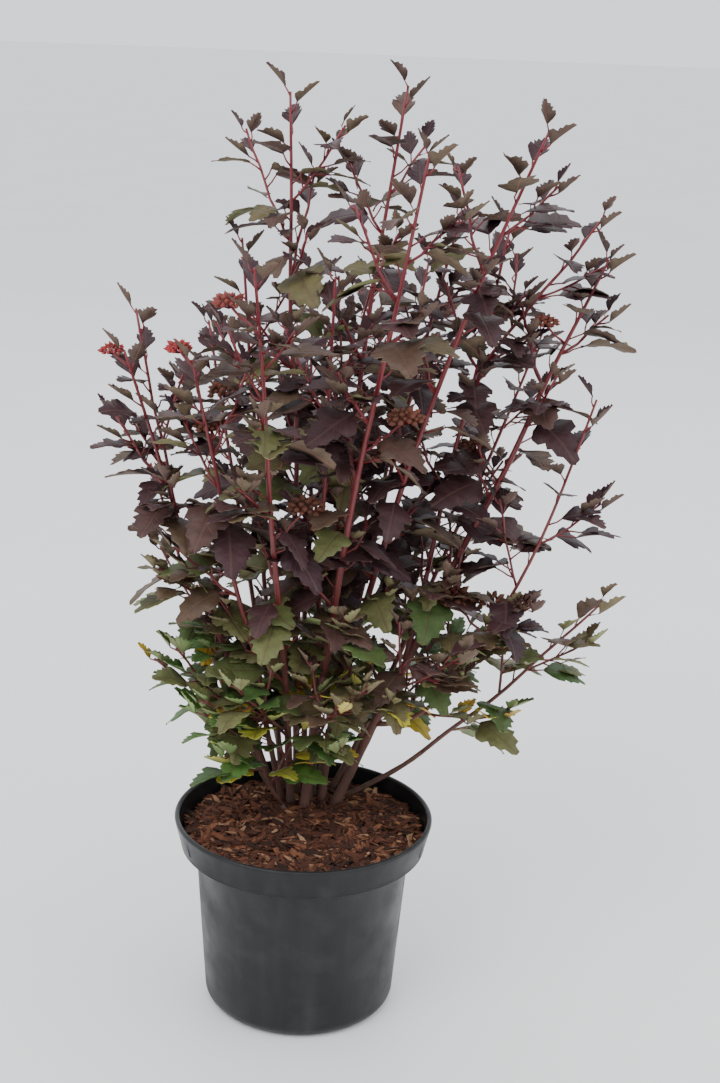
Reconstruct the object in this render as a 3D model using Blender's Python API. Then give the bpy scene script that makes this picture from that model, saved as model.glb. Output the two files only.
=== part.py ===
"""A ninebark shrub in its nursery pot: a turned pot, its filling, woody stems and masses of leaves."""

import math
import random
from collections import namedtuple

import bmesh
import bpy
from mathutils import Matrix, Vector
from mathutils.bvhtree import BVHTree

# Driving sizes, in millimetres. The origin is the middle of the pot's flat underside.
MM = 0.001
GAP = 0.3
POT_RIM_RADIUS = 85.0
POT_HEIGHT = 132.0
POT_WALL = 1.8
COLLAR_FOOT_RADIUS = 80.5
COLLAR_HEIGHT = 21.0
STEP_HEIGHT = 3.0
WALL_TOP_RADIUS = 70.5
WALL_FOOT_RADIUS = 63.5
FOOT_ROUNDING = 9.0
POT_SEGMENTS = 36
SOIL_TOP = 122.0
SOIL_EDGE_DROP = 3.5
SOIL_LEVEL_RADIUS = 74.0
LIP_DEPTH = 3.4
LIP_DROP = 0.6

LIMB_SIDES = 6
TWIG_SIDES = 3
LIMB_STEP = 34.0
TWIG_STEP = 48.0
TIP_THICKNESS = 0.75
TAPER = 0.85
SHARED_TURN = math.radians(137.5)

NODE_GAP = 27.0
LEAF_LENGTH = 35.0
LEAF_WIDTH = 0.80
LOBE_AT = 0.40
LEAF_FOLD = 0.035
PETIOLE = 0.42
PETIOLE_THICKNESS = 0.85
ROOT_THICKNESS = 0.35
ROOT_DEPTH = 0.35
GUARD = 0.35
TIP_NODE = 3.0
ROOT_NODE = 8.0
LOW_NODE_GAP = 18.0
TWIG_NODE_GAP = 15.0
FIRST_TWIG = 5
TWIG_EVERY = 8
TWIG_REACH = 58.0
TWIG_PITCH = 42.0
HEAD_SIDES = 6
LOW_LEAF = 4.0
LEAF_PITCH = 50.0
BUD_PITCH = 26.0
BUD_RISE = 52.0
LEAF_DROOP = (-24.0, 12.0)
LEAF_ROLL = 24.0
LEAF_VARIES = (0.84, 1.12)
OLD_LEAF = 5
TWIG_BEND = 0.22
HEAD_DOME = ((-0.5, 0.5), (0.1, 1.0), (0.65, 0.45))
MERGE = 1e-5
TRIES = ((0, 1.0), (38, 1.0), (-38, 1.0), (76, 0.9), (-76, 0.9), (0, 0.72), (120, 0.8), (-120, 0.8))

# A stem stands on the soil. Its foot and tip are in millimetres, and rise says how it bends:
# over 1 it climbs first and leans out later, under 1 it leans out first and climbs later.
# bare is the share of its length below its leaves, and thick is its radius at the foot.
Stem = namedtuple("Stem", "foot tip rise bare thick")
STEMS = {
    "left_high": Stem((-5, 50), (-21, 20, 592), 1.0, 0.27, 2.4),
    "top": Stem((5, 46), (49, 20, 598), 1.5, 0.27, 2.6),
    "front_right": Stem((0, 29), (56, -110, 568), 1.25, 0.24, 2.9),
    "front_left": Stem((-9, 36), (-35, -120, 506), 1.1, 0.25, 2.6),
    "far_left": Stem((-18, 46), (-114, -30, 442), 0.95, 0.30, 2.3),
    "inner_left": Stem((-15, 40), (-71, -70, 446), 1.0, 0.28, 2.1),
    "left_back": Stem((-14, 55), (-50, 60, 500), 0.9, 0.28, 2.1),
    "centre": Stem((3, 38), (9, -30, 490), 1.0, 0.28, 2.2),
    "right_high": Stem((12, 40), (126, -50, 579), 1.45, 0.28, 2.7),
    "far_right": Stem((20, 36), (176, 15, 500), 1.0, 0.36, 3.5),
    "low_right": Stem((22, 50), (190, 15, 280), 0.8, 0.34, 2.0),
    "centre_right": Stem((10, 55), (88, 60, 520), 1.2, 0.28, 2.1),
    "back_left": Stem((-11, 62), (-75, 130, 435), 0.9, 0.30, 2.2),
    "back": Stem((-1, 62), (-5, 170, 465), 1.1, 0.30, 2.3),
    "back_right": Stem((9, 64), (75, 150, 480), 1.0, 0.30, 2.3),
    "back_far_right": Stem((17, 60), (150, 100, 440), 0.9, 0.30, 2.2),
    "back_low_left": Stem((-20, 54), (-110, 85, 345), 0.8, 0.32, 2.0),
    "basal": Stem((-12, 26), (-38, 2, 184), 0.9, 0.14, 1.6),
}

# A branch leaves the side of a stem. It has a bare part of its own.
Branch = namedtuple("Branch", "parent at tip rise bare thick")
BRANCHES = {
    "right": Branch("far_right", 0.29, (116, 30, 515), 1.0, 0.22, 1.9),
    "arch_right": Branch("far_right", 0.17, (171, -10, 418), 0.50, 0.38, 1.7),
}

# A low twig leaves the side of a bare stem and carries leaves from its start.
Twig = namedtuple("Twig", "parent at tip rise thick")
LOW_TWIGS = {
    "low_left": Twig("far_left", 0.20, (-85, 0, 245), 0.85, 1.1),
    "low_front_left": Twig("front_left", 0.17, (-45, -45, 238), 0.9, 1.1),
    "low_front": Twig("front_right", 0.15, (20, -60, 232), 0.9, 1.1),
    "low_right_front": Twig("right_high", 0.16, (95, -45, 262), 0.8, 1.1),
    "low_far_right": Twig("far_right", 0.25, (129, 0, 277), 0.8, 1.1),
    "low_right_back": Twig("back_far_right", 0.2, (110, 75, 235), 0.8, 1.1),
    "low_back": Twig("back", 0.2, (15, 135, 240), 0.9, 1.1),
    "low_back_left": Twig("back_left", 0.2, (-60, 105, 235), 0.85, 1.1),
}

# A fork leaves a leafy shoot part of the way up it, and belongs to that mass.
Fork = namedtuple("Fork", "parent at tip rise thick")
FORKS = {
    "left": Fork("far_left", 0.60, (-111, 5, 462), 0.8, 1.2),
    "right_fork": Fork("right", 0.68, (171, 10, 527), 1.0, 1.2),
    "left_high_fork": Fork("left_high", 0.76, (-5, 40, 545), 1.0, 1.0),
    "centre_fork": Fork("top", 0.45, (12, 62, 478), 0.9, 1.1),
    "back_fork": Fork("back", 0.50, (35, 100, 470), 1.0, 1.1),
}

# A head is a domed cluster of seed capsules on a short side twig of a mass: the shoot that
# bears it, how far up, the compass bearing and the reach of its twig, and its radius.
Head = namedtuple("Head", "shoot at bearing reach radius")
HEADS = (
    Head("inner_left", 0.985, 150, 14, 7.5),
    Head("far_left", 0.97, 170, 14, 7.0),
    Head("front_left", 0.90, 165, 24, 9.0),
    Head("far_left", 0.50, 200, 26, 11.0),
    Head("inner_left", 0.80, 100, 26, 10.0),
    Head("left_back", 0.72, 215, 30, 11.0),
    Head("front_left", 0.55, 20, 28, 11.0),
    Head("right_high", 0.52, 250, 34, 12.0),
    Head("arch_right", 0.55, 150, 34, 14.0),
    Head("low_far_right", 0.80, 80, 20, 10.0),
    Head("far_right", 0.62, 140, 28, 10.0),
    Head("back_right", 0.70, 40, 30, 11.0),
    Head("back", 0.62, 100, 30, 11.0),
)

COLOURS = {
    "pot": ((0.030, 0.032, 0.034, 1), 0.45),
    "soil": ((0.090, 0.040, 0.022, 1), 0.95),
    "stem": ((0.20, 0.055, 0.045, 1), 0.60),
    "foliage": ((0.085, 0.050, 0.052, 1), 0.55),
    "low_foliage": ((0.060, 0.100, 0.030, 1), 0.55),
}


def clear_scene():
    """Removes whatever the scene holds."""
    for obj in list(bpy.data.objects):
        bpy.data.objects.remove(obj, do_unlink=True)


def material(name):
    """A plain finish of one colour and roughness."""
    colour, roughness = COLOURS[name]
    finish = bpy.data.materials.new(name)
    finish.use_nodes = True
    shader = finish.node_tree.nodes["Principled BSDF"]
    shader.inputs["Base Color"].default_value = colour
    shader.inputs["Roughness"].default_value = roughness
    finish.diffuse_color = colour
    return finish


def add_object(name, bm, finish, home=None):
    """Turns a bmesh into an object of the scene, or of another collection."""
    mesh = bpy.data.meshes.new(name)
    bm.to_mesh(mesh)
    bm.free()
    mesh.materials.append(finish)
    obj = bpy.data.objects.new(name, mesh)
    (home or bpy.context.scene.collection).objects.link(obj)
    return obj


def arc(centre, radius, first, last, steps):
    """Points of a quarter arc or less, as radius and height."""
    points = []
    for step in range(steps + 1):
        angle = math.radians(first + (last - first) * step / steps)
        points.append((centre[0] + radius * math.cos(angle), centre[1] + radius * math.sin(angle)))
    return points


def turned(name, profile, finish):
    """A solid turned round the upright axis. Its profile runs from the axis to the axis."""
    bm = bmesh.new()
    points = [bm.verts.new((radius * MM, 0, height * MM)) for radius, height in profile]
    edges = [bm.edges.new(pair) for pair in zip(points, points[1:])]
    bmesh.ops.spin(bm, geom=points + edges, cent=(0, 0, 0), axis=(0, 0, 1), angle=math.tau,
                   steps=POT_SEGMENTS, use_merge=True)
    bmesh.ops.remove_doubles(bm, verts=bm.verts, dist=1e-5)
    bmesh.ops.recalc_face_normals(bm, faces=bm.faces)
    obj = add_object(name, bm, finish)
    obj.data.shade_smooth()
    obj.data.set_sharp_from_angle(angle=math.radians(35))
    return obj


def inner_profile(spare):
    """The inside of the pot from its floor's middle up to the collar, drawn in by spare."""
    floor = POT_WALL + spare
    collar_foot = POT_HEIGHT - COLLAR_HEIGHT
    rounding = FOOT_ROUNDING - POT_WALL
    foot = WALL_FOOT_RADIUS - POT_WALL - spare
    return [
        (0, floor),
        *arc((foot - rounding, floor + rounding), rounding, -90, 0, 2),
        (WALL_TOP_RADIUS - POT_WALL - spare, collar_foot - STEP_HEIGHT + POT_WALL),
        (COLLAR_FOOT_RADIUS - POT_WALL - spare, collar_foot + POT_WALL + spare),
    ]


def build_pot():
    """A thin pot with a rounded foot, a stepped collar and a rolled lip."""
    collar_foot = POT_HEIGHT - COLLAR_HEIGHT
    outside = [
        (POT_RIM_RADIUS - LIP_DEPTH, POT_HEIGHT - LIP_DROP),
        (POT_RIM_RADIUS - 1.6, POT_HEIGHT),
        (POT_RIM_RADIUS, POT_HEIGHT - 1.2),
        (POT_RIM_RADIUS - 0.4, POT_HEIGHT - 4.0),
        (COLLAR_FOOT_RADIUS, collar_foot),
        (WALL_TOP_RADIUS, collar_foot - STEP_HEIGHT),
        *arc((WALL_FOOT_RADIUS - FOOT_ROUNDING, FOOT_ROUNDING), FOOT_ROUNDING, 0, -90, 3),
        (0, 0),
    ]
    turned("pot", inner_profile(0) + outside, material("pot"))


def build_soil():
    """The filling, level where the stems stand and a little lower at the pot's wall."""
    edge = SOIL_TOP - SOIL_EDGE_DROP
    collar_foot = POT_HEIGHT - COLLAR_HEIGHT + POT_WALL
    inside = (COLLAR_FOOT_RADIUS - POT_WALL, collar_foot)
    lip = (POT_RIM_RADIUS - LIP_DEPTH, POT_HEIGHT - LIP_DROP)
    up = (edge - inside[1]) / (lip[1] - inside[1])
    wall = inside[0] + (lip[0] - inside[0]) * up - GAP
    top = [(wall, edge), (SOIL_LEVEL_RADIUS, SOIL_TOP), (0, SOIL_TOP)]
    turned("soil", inner_profile(GAP) + top, material("soil"))


def section(centre, axis, side, across, over):
    """A matrix that sets a unit ring at a place, square to axis, across wide and over deep."""
    axis = axis.normalized()
    side = (side - axis * side.dot(axis)).normalized()
    other = axis.cross(side)
    columns = (side * across, other * over, axis, centre)
    matrix = Matrix.Identity(4)
    for index, column in enumerate(columns):
        matrix.col[index][:3] = column
    return matrix


def loft(sections, sides, pointed=False):
    """A closed solid drawn through a row of sections. It ends flat or in a point."""
    bm = bmesh.new()
    bmesh.ops.create_circle(bm, cap_ends=True, segments=sides, radius=1, matrix=sections[0])
    edges = list(bm.edges)
    points = list(bm.verts)
    for old, new in zip(sections, sections[1:]):
        grown = bmesh.ops.extrude_edge_only(bm, edges=edges)["geom"]
        points = [item for item in grown if isinstance(item, bmesh.types.BMVert)]
        edges = [item for item in grown if isinstance(item, bmesh.types.BMEdge)]
        bmesh.ops.transform(bm, matrix=new @ old.inverted(), verts=points)
    if pointed:
        bmesh.ops.pointmerge(bm, verts=points, merge_co=sections[-1].translation)
    else:
        bmesh.ops.contextual_create(bm, geom=edges)
    bmesh.ops.recalc_face_normals(bm, faces=bm.faces)
    return bm


class Shoot:
    """A tapering shoot that bends by its rise, from a foot to a tip."""

    def __init__(self, foot, tip, rise, thick, thin=TIP_THICKNESS):
        self.foot = Vector(foot)
        self.tip = Vector(tip)
        self.rise = rise
        self.thick = thick
        self.thin = thin
        ends = [self.place(step / 10) for step in range(11)]
        self.length = sum((b - a).length for a, b in zip(ends, ends[1:]))

    def place(self, share):
        out = share ** max(1.0, self.rise)
        up = share ** max(1.0, 1.0 / self.rise)
        reach = self.tip - self.foot
        return self.foot + Vector((reach.x * out, reach.y * out, reach.z * up))

    def heading(self, share):
        low = max(share - 0.02, 0.0)
        high = min(share + 0.02, 1.0)
        return (self.place(high) - self.place(low)).normalized()

    def radius(self, share):
        return (self.thin + (self.thick - self.thin) * (1.0 - share) ** TAPER) * MM

    def section(self, share, spare=0.0):
        radius = self.radius(share) + spare
        return section(self.place(share), self.heading(share), Vector((0, 1, 0)), radius, radius)

    def sections(self, first, last, step, spare=0.0):
        """Sections along the shoot between two shares, about a step apart."""
        count = max(2, round(self.length * (last - first) / (step * MM)))
        shares = [min(1.0, first + (last - first) * index / count) for index in range(count + 1)]
        return [self.section(share, spare) for share in shares]

    def side(self, share, turn):
        """A direction square to the shoot, turned round it by an angle."""
        axis = self.heading(share)
        across = axis.cross(Vector((0, 1, 0))).normalized()
        return Matrix.Rotation(turn, 3, axis) @ across


def millimetres(place):
    return Vector(place) * MM


def side_start(parent, at, tip, rise, thick):
    """A shoot whose flat end stands just clear of the side of another shoot."""
    centre = parent.place(at)
    axis = parent.heading(at)
    lean = Shoot(centre, tip, rise, thick).heading(0.01)
    out = (lean - axis * lean.dot(axis)).normalized()
    clear = parent.radius(at) + GAP * MM + thick * MM * abs(lean.dot(axis))
    return Shoot(centre + out * clear, tip, rise, thick)


class Space:
    """All that has grown so far. Nothing new may touch what belongs to another mass."""

    def __init__(self):
        self.pieces = []

    def shape(self, owner, whole, blade=None):
        """What a piece takes up, with the part of it that its own mass must miss too."""
        points = [vertex.co for vertex in whole.verts]
        low = [min(point[axis] for point in points) for axis in range(3)]
        high = [max(point[axis] for point in points) for axis in range(3)]
        near = BVHTree.FromBMesh(blade) if blade else BVHTree.FromBMesh(whole)
        return owner, low, high, BVHTree.FromBMesh(whole), near

    def is_free(self, piece, parent=None):
        """Whether a piece misses everything, apart from the shoot that it grows on."""
        owner, low, high, whole, near = piece
        for other in self.pieces:
            if other is parent:
                continue
            if any(low[axis] > other[2][axis] or high[axis] < other[1][axis] for axis in range(3)):
                continue
            mine, theirs = (near, other[4]) if other[0] == owner else (whole, other[3])
            if mine.overlap(theirs):
                return False
        return True

    def add(self, piece):
        self.pieces.append(piece)
        return piece


def leaf_sections(root, stalk, blade, normal, size, spare=0.0):
    """Sections of one leaf: a stalk sunk in its twig, then a blade folded along its middle."""
    side = blade.cross(normal)
    rim = PETIOLE_THICKNESS * MM + spare
    thin = ROOT_THICKNESS * MM + spare
    base = root + stalk * PETIOLE * size
    lobes = base + blade * LOBE_AT * size + normal * 0.05 * size
    end = base + blade * size - normal * 0.06 * size
    half = LEAF_WIDTH * size / math.sqrt(3) + spare
    return [
        section(root - stalk * ROOT_DEPTH * MM, stalk, side, thin, thin),
        section(base, stalk + blade, side, rim, rim),
        section(lobes, blade, side, half, LEAF_FOLD * size + spare),
        section(end + blade * spare, blade, side, rim, rim),
    ]


def address(*words):
    """A random stream of its own for each place on the plant."""
    return random.Random(" ".join(str(word) for word in words))


def node_shares(length, first, spacing):
    """Shares of a shoot where leaves stand, from the tip down, close together near the tip."""
    below = TIP_NODE * MM
    count = 0
    shares = []
    while below < length * (1.0 - first) - ROOT_NODE * MM:
        shares.append(1.0 - below / length)
        below += spacing * MM * min(1.0, 0.38 + 0.13 * count)
        count += 1
    return shares


def leaf_solid(sections):
    """A leaf from its sections. Its keel runs out from the stalk, so its blade is thin at the edge."""
    bm = loft(sections, 3, pointed=True)
    below = [matrix @ Vector((0, 1, 0)) for matrix in sections[-3:-1]]
    keel = [min(bm.verts, key=lambda vertex: (vertex.co - place).length) for place in below]
    bmesh.ops.pointmerge(bm, verts=keel, merge_co=keel[0].co)
    return bm


class Mass:
    """One mass of foliage: a leading shoot, its forks and side twigs, leaves and heads."""

    def __init__(self, name, space):
        self.name = name
        self.space = space
        self.parts = []
        self.shoots = []
        self.leaves = 0

    def add_shoot(self, name, shoot, first, spacing, vigour, must=True):
        """Adds the leafy part of a shoot as one tapering limb, unless it would touch a neighbour."""
        guard = loft(shoot.sections(first, 1.0, TWIG_STEP, GUARD * MM), TWIG_SIDES)
        piece = self.space.shape(self.name, guard)
        guard.free()
        parent = self.shoots[0][2] if self.shoots else None
        if not must and not self.space.is_free(piece, parent):
            return False
        self.space.add(piece)
        self.parts.append(loft(shoot.sections(first, 1.0, TWIG_STEP), TWIG_SIDES))
        self.shoots.append((name, shoot, piece, first, spacing, vigour))
        return True

    def add_side_twigs(self, every, reach):
        """Adds side twigs from the leading shoot at every so many nodes, from its tip down."""
        name, shoot, _, first, spacing, vigour = self.shoots[0]
        for count, share in enumerate(node_shares(shoot.length, first, spacing)):
            if count < FIRST_TWIG or (count - FIRST_TWIG) % every:
                continue
            draw = address(self.name, name, "twig", count)
            turn = count * SHARED_TURN + draw.uniform(-0.4, 0.4)
            length = reach * MM * draw.uniform(0.7, 1.15)
            twig = side_twig(shoot, share, turn, TWIG_PITCH, length)
            self.add_shoot(f"twig_{count}", twig, 0.0, TWIG_NODE_GAP, 0.8 * vigour, must=False)

    def add_leaf(self, name, shoot, piece, share, count, vigour):
        """Adds a leaf at a node, turned or made smaller until it is clear, or else none."""
        draw = address(self.name, name, "leaf", count)
        youth = max(0.0, 1.0 - count / OLD_LEAF)
        angle = count * SHARED_TURN + draw.uniform(-0.25, 0.25)
        grown = min(1.0, 0.45 + 0.11 * count)
        size = LEAF_LENGTH * MM * grown * draw.uniform(*LEAF_VARIES) * vigour
        pitch = math.radians(LEAF_PITCH + (BUD_PITCH - LEAF_PITCH) * youth)
        droop = math.radians(BUD_RISE * youth + (1 - youth) * draw.uniform(*LEAF_DROOP))
        roll = math.radians(draw.uniform(-LEAF_ROLL, LEAF_ROLL))
        axis = shoot.heading(share)
        root = shoot.place(share)
        for turn, scale in TRIES:
            side = shoot.side(share, angle + math.radians(turn))
            stalk = (axis * math.cos(pitch) + side * math.sin(pitch)).normalized()
            level = Vector((stalk.x, stalk.y, 0)).normalized()
            blade = level * math.cos(droop) + Vector((0, 0, math.sin(droop)))
            upright = Vector((0, 0, math.cos(droop))) - level * math.sin(droop)
            normal = Matrix.Rotation(roll, 3, blade) @ upright
            leaf = (root, stalk, blade, normal, size * scale)
            guard_sections = leaf_sections(*leaf, GUARD * MM)
            guard = leaf_solid(guard_sections)
            blade_guard = leaf_solid(guard_sections[1:])
            shape = self.space.shape(self.name, guard, blade_guard)
            guard.free()
            blade_guard.free()
            if shape[1][2] > (SOIL_TOP + LOW_LEAF) * MM and self.space.is_free(shape, piece):
                self.space.add(shape)
                self.parts.append(leaf_solid(leaf_sections(*leaf)))
                self.leaves += 1
                return

    def add_leaves(self):
        """Adds a leaf at each node of each shoot."""
        for name, shoot, piece, first, spacing, vigour in self.shoots:
            for count, share in enumerate(node_shares(shoot.length, first, spacing)):
                self.add_leaf(name, shoot, piece, share, count, vigour)

    def add_head(self, shoot, head):
        """Adds a domed cluster of capsules at the end of a short side twig."""
        side = bearing_vector(head.bearing)
        foot = shoot.place(head.at)
        tip = foot + (side * 0.75 + Vector((0, 0, 0.66))) * head.reach * MM
        twig = Shoot(foot, tip, 0.9, 0.9)
        radius = head.radius * MM
        up = Vector((0, 0, 1))
        for spare in (GUARD * MM, 0.0):
            rings = [section(tip + up * radius * high, up, side, radius * wide + spare,
                             radius * wide + spare) for high, wide in HEAD_DOME]
            solid = loft(rings, HEAD_SIDES)
            if spare:
                piece = self.space.shape(self.name, solid)
                solid.free()
                if not self.space.is_free(piece):
                    return
        self.space.add(piece)
        self.parts.append(loft(twig.sections(0.0, 1.0, TWIG_STEP), TWIG_SIDES))
        self.parts.append(solid)

    def fuse(self, finish):
        """Joins the shoots, leaves and heads into one solid."""
        home = bpy.data.collections.new(self.name + "_parts")
        bpy.context.scene.collection.children.link(home)
        name = "foliage_" + self.name
        whole = add_object(name, self.parts[0], finish)
        for index, part in enumerate(self.parts[1:]):
            add_object(f"{self.name}_{index}", part, finish, home)
        join = whole.modifiers.new("join", "BOOLEAN")
        join.operation = "UNION"
        join.operand_type = "COLLECTION"
        join.collection = home
        for solver in ("EXACT", "MANIFOLD"):
            join.solver = solver
            graph = bpy.context.evaluated_depsgraph_get()
            mesh = bpy.data.meshes.new_from_object(whole.evaluated_get(graph))
            if keep_largest(mesh):
                break
        whole.modifiers.clear()
        whole.data = mesh
        for obj in list(home.objects):
            bpy.data.objects.remove(obj, do_unlink=True)
        bpy.data.collections.remove(home)
        triangles = sum(len(face.vertices) - 2 for face in mesh.polygons)
        print(name, "leaves", self.leaves, "triangles", triangles, join_note(solver))


def join_note(solver):
    return "" if solver == "EXACT" else "by the second solver"


def keep_largest(mesh):
    """Merges doubled points and drops any loose scrap. Returns whether the rest is closed."""
    bm = bmesh.new()
    bm.from_mesh(mesh)
    bmesh.ops.remove_doubles(bm, verts=bm.verts, dist=MERGE)
    bmesh.ops.dissolve_degenerate(bm, dist=MERGE / 10, edges=bm.edges)
    left = set(bm.faces)
    groups = []
    while left:
        border = [left.pop()]
        group = list(border)
        while border:
            face = border.pop()
            near = {other for edge in face.edges for other in edge.link_faces} & left
            left -= near
            border.extend(near)
            group.extend(near)
        groups.append(group)
    groups.sort(key=len)
    scraps = [face for group in groups[:-1] for face in group]
    if scraps:
        print(mesh.name, "drops", len(groups) - 1, "scraps of", len(scraps), "faces")
        bmesh.ops.delete(bm, geom=scraps, context="FACES")
    closed = all(edge.is_manifold for edge in bm.edges)
    bm.to_mesh(mesh)
    bm.free()
    return closed


def bearing_vector(bearing):
    """A level direction from a compass bearing: 0 is right, 90 is away from the viewer."""
    angle = math.radians(bearing)
    return Vector((math.cos(angle), math.sin(angle), 0))


def side_twig(shoot, share, turn, pitch, length):
    """A twig that leaves a shoot's axis at a pitch and curves upward."""
    side = shoot.side(share, turn)
    pitch = math.radians(pitch)
    heading = shoot.heading(share) * math.cos(pitch) + side * math.sin(pitch)
    foot = shoot.place(share)
    tip = foot + heading * length + Vector((0, 0, TWIG_BEND * length))
    thick = min(1.15, shoot.radius(share) / MM * 0.75)
    return Shoot(foot, tip, 0.85, max(thick, TIP_THICKNESS))


def build_limb(name, shoot, last, space, finish, on_soil):
    """The bare woody part of a shoot, cut level where it stands on the soil."""
    def rings(spare):
        found = shoot.sections(0.0, last, LIMB_STEP, spare)
        if on_soil:
            radius = shoot.radius(0.0) + spare
            found[0] = section(shoot.foot, Vector((0, 0, 1)), Vector((0, 1, 0)), radius, radius)
        return found

    guard = loft(rings(GUARD * MM), LIMB_SIDES)
    space.add(space.shape("stem_" + name, guard))
    guard.free()
    obj = add_object("stem_" + name, loft(rings(0.0), LIMB_SIDES), finish)
    obj.data.shade_smooth()
    obj.data.set_sharp_from_angle(angle=math.radians(62))


def build_plant():
    """Stems and branches first, then the leafy shoots, and the leaves last."""
    space = Space()
    bark = material("stem")
    shoots = {}
    masses = {}
    for name, stem in STEMS.items():
        foot = millimetres((*stem.foot, SOIL_TOP + GAP))
        shoots[name] = Shoot(foot, millimetres(stem.tip), stem.rise, stem.thick)
        build_limb(name, shoots[name], stem.bare, space, bark, on_soil=True)
    for name, branch in BRANCHES.items():
        parent = shoots[branch.parent]
        shoots[name] = side_start(parent, branch.at, millimetres(branch.tip), branch.rise, branch.thick)
        build_limb(name, shoots[name], branch.bare, space, bark, on_soil=False)
    for name, limb in (STEMS | BRANCHES).items():
        masses[name] = Mass(name, space)
        first = limb.bare + GAP * MM / shoots[name].length
        spacing = LOW_NODE_GAP if name == "basal" else NODE_GAP
        masses[name].add_shoot(name, shoots[name], first, spacing, 1.0)
    for name, twig in LOW_TWIGS.items():
        parent = shoots[twig.parent]
        shoots[name] = side_start(parent, twig.at, millimetres(twig.tip), twig.rise, twig.thick)
        masses[name] = Mass(name, space)
        masses[name].add_shoot(name, shoots[name], 0.0, LOW_NODE_GAP, 0.95)
    for name, fork in FORKS.items():
        parent = shoots[fork.parent]
        shoots[name] = Shoot(parent.place(fork.at), millimetres(fork.tip), fork.rise, fork.thick)
        masses[fork.parent].add_shoot(name, shoots[name], 0.0, NODE_GAP, 0.9)
    for head in HEADS:
        owner = FORKS[head.shoot].parent if head.shoot in FORKS else head.shoot
        masses[owner].add_head(shoots[head.shoot], head)
    for mass in masses.values():
        mass.add_side_twigs(TWIG_EVERY, TWIG_REACH)
    for mass in masses.values():
        mass.add_leaves()
    foliage = material("foliage")
    for mass in masses.values():
        mass.fuse(foliage)
    print("leaves in all", sum(mass.leaves for mass in masses.values()))


def main():
    clear_scene()
    build_pot()
    build_soil()
    build_plant()


main()
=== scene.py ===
# %% [markdown]
# # A ninebark shrub in its nursery pot
# This lesson dresses a plain solid model of a young ninebark, a shrub with lobed purple leaves on
# crimson stems. The solids give every size and place. The script grows the real surface round them:
# leaves with teeth and veins, bark, seed heads, shredded bark in the pot, and the pot's plastic.
# The frame is loaded first, because every piece that follows is placed by it.

import math
import random

import bmesh
import bpy
from mathutils import Matrix, Vector, noise


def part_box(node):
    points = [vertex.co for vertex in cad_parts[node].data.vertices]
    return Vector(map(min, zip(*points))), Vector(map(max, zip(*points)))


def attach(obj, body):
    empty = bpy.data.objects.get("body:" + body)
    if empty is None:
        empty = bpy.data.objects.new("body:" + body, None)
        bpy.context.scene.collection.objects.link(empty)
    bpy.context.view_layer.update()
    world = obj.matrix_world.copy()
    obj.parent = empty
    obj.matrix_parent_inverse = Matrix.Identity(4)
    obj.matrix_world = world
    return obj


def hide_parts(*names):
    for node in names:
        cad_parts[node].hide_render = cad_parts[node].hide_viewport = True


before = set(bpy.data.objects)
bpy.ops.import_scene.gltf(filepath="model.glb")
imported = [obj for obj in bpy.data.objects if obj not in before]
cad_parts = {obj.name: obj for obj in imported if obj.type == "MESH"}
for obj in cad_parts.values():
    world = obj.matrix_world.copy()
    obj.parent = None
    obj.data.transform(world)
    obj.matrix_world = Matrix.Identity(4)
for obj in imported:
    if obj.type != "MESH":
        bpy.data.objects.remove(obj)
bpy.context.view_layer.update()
MM = 0.001
UP = Vector((0, 0, 1))
print(len(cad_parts), "solids in the frame")

# %% [markdown]
# ## The camera
# The picture was taken from about a metre in front of the pot, a little above the shrub's middle,
# with the camera held slightly askew. The lens is given for the long side of the frame, which is
# its height here. A roll of two degrees is part of the view, so it is turned in with the rest.

# %% Camera
CAMERA_PLACE = (0.0, -1.025, 0.631)
CAMERA_TURN = math.radians(1.69)
CAMERA_DIP = math.radians(16.87)
CAMERA_ROLL = math.radians(2.24)
LENS = 56.5
SENSOR = 36.0

camera = bpy.data.objects.new("camera", bpy.data.cameras.new("camera"))
camera.data.lens = LENS
camera.data.sensor_width = SENSOR
turn = Matrix.Rotation(-CAMERA_TURN, 4, "Z")
dip = Matrix.Rotation(math.pi / 2 - CAMERA_DIP, 4, "X")
roll = Matrix.Rotation(CAMERA_ROLL, 4, "Z")
camera.matrix_world = Matrix.Translation(CAMERA_PLACE) @ turn @ dip @ roll
bpy.context.scene.collection.objects.link(camera)
bpy.context.scene.camera = camera
print("camera at", CAMERA_PLACE)

# %% [markdown]
# ## Floor and light
# A white floor and a soft, even light from above and in front keep the colours true. Three large
# lamps and a pale sky do that without hard shadows. One small lamp would be simpler, but it would
# draw every leaf twice, once as itself and once as a black shadow.

# %% Lamps and sky
FLOOR_RADIUS = 40.0
SKY = (0.93, 0.95, 1.0, 1)
SKY_STRENGTH = 1.45
LAMP_AIM = (0, 0, 0.3)
# Each lamp: its place and size in metres, and its power in watts.
LAMPS = {
    "key_lamp": ((-0.9, -1.3, 2.0), 1.4, 26),
    "fill_lamp": ((1.5, -0.6, 1.3), 1.6, 9),
    "back_lamp": ((0.3, 1.6, 1.9), 1.6, 10),
}


def lamp(name, place, size, power):
    """A square soft lamp that looks at the shrub."""
    light = bpy.data.lights.new(name, "AREA")
    light.size = size
    light.energy = power
    obj = bpy.data.objects.new(name, light)
    obj.location = place
    aim = Vector(LAMP_AIM) - Vector(place)
    obj.rotation_euler = aim.to_track_quat("-Z", "Y").to_euler()
    bpy.context.scene.collection.objects.link(obj)


for lamp_name, (place, size, power) in LAMPS.items():
    lamp(lamp_name, place, size, power)
world = bpy.data.worlds.new("studio")
world.use_nodes = True
sky = world.node_tree.nodes["Background"]
sky.inputs["Color"].default_value = SKY
sky.inputs["Strength"].default_value = SKY_STRENGTH
bpy.context.scene.world = world
print(len(LAMPS), "lamps and a pale sky")

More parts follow.
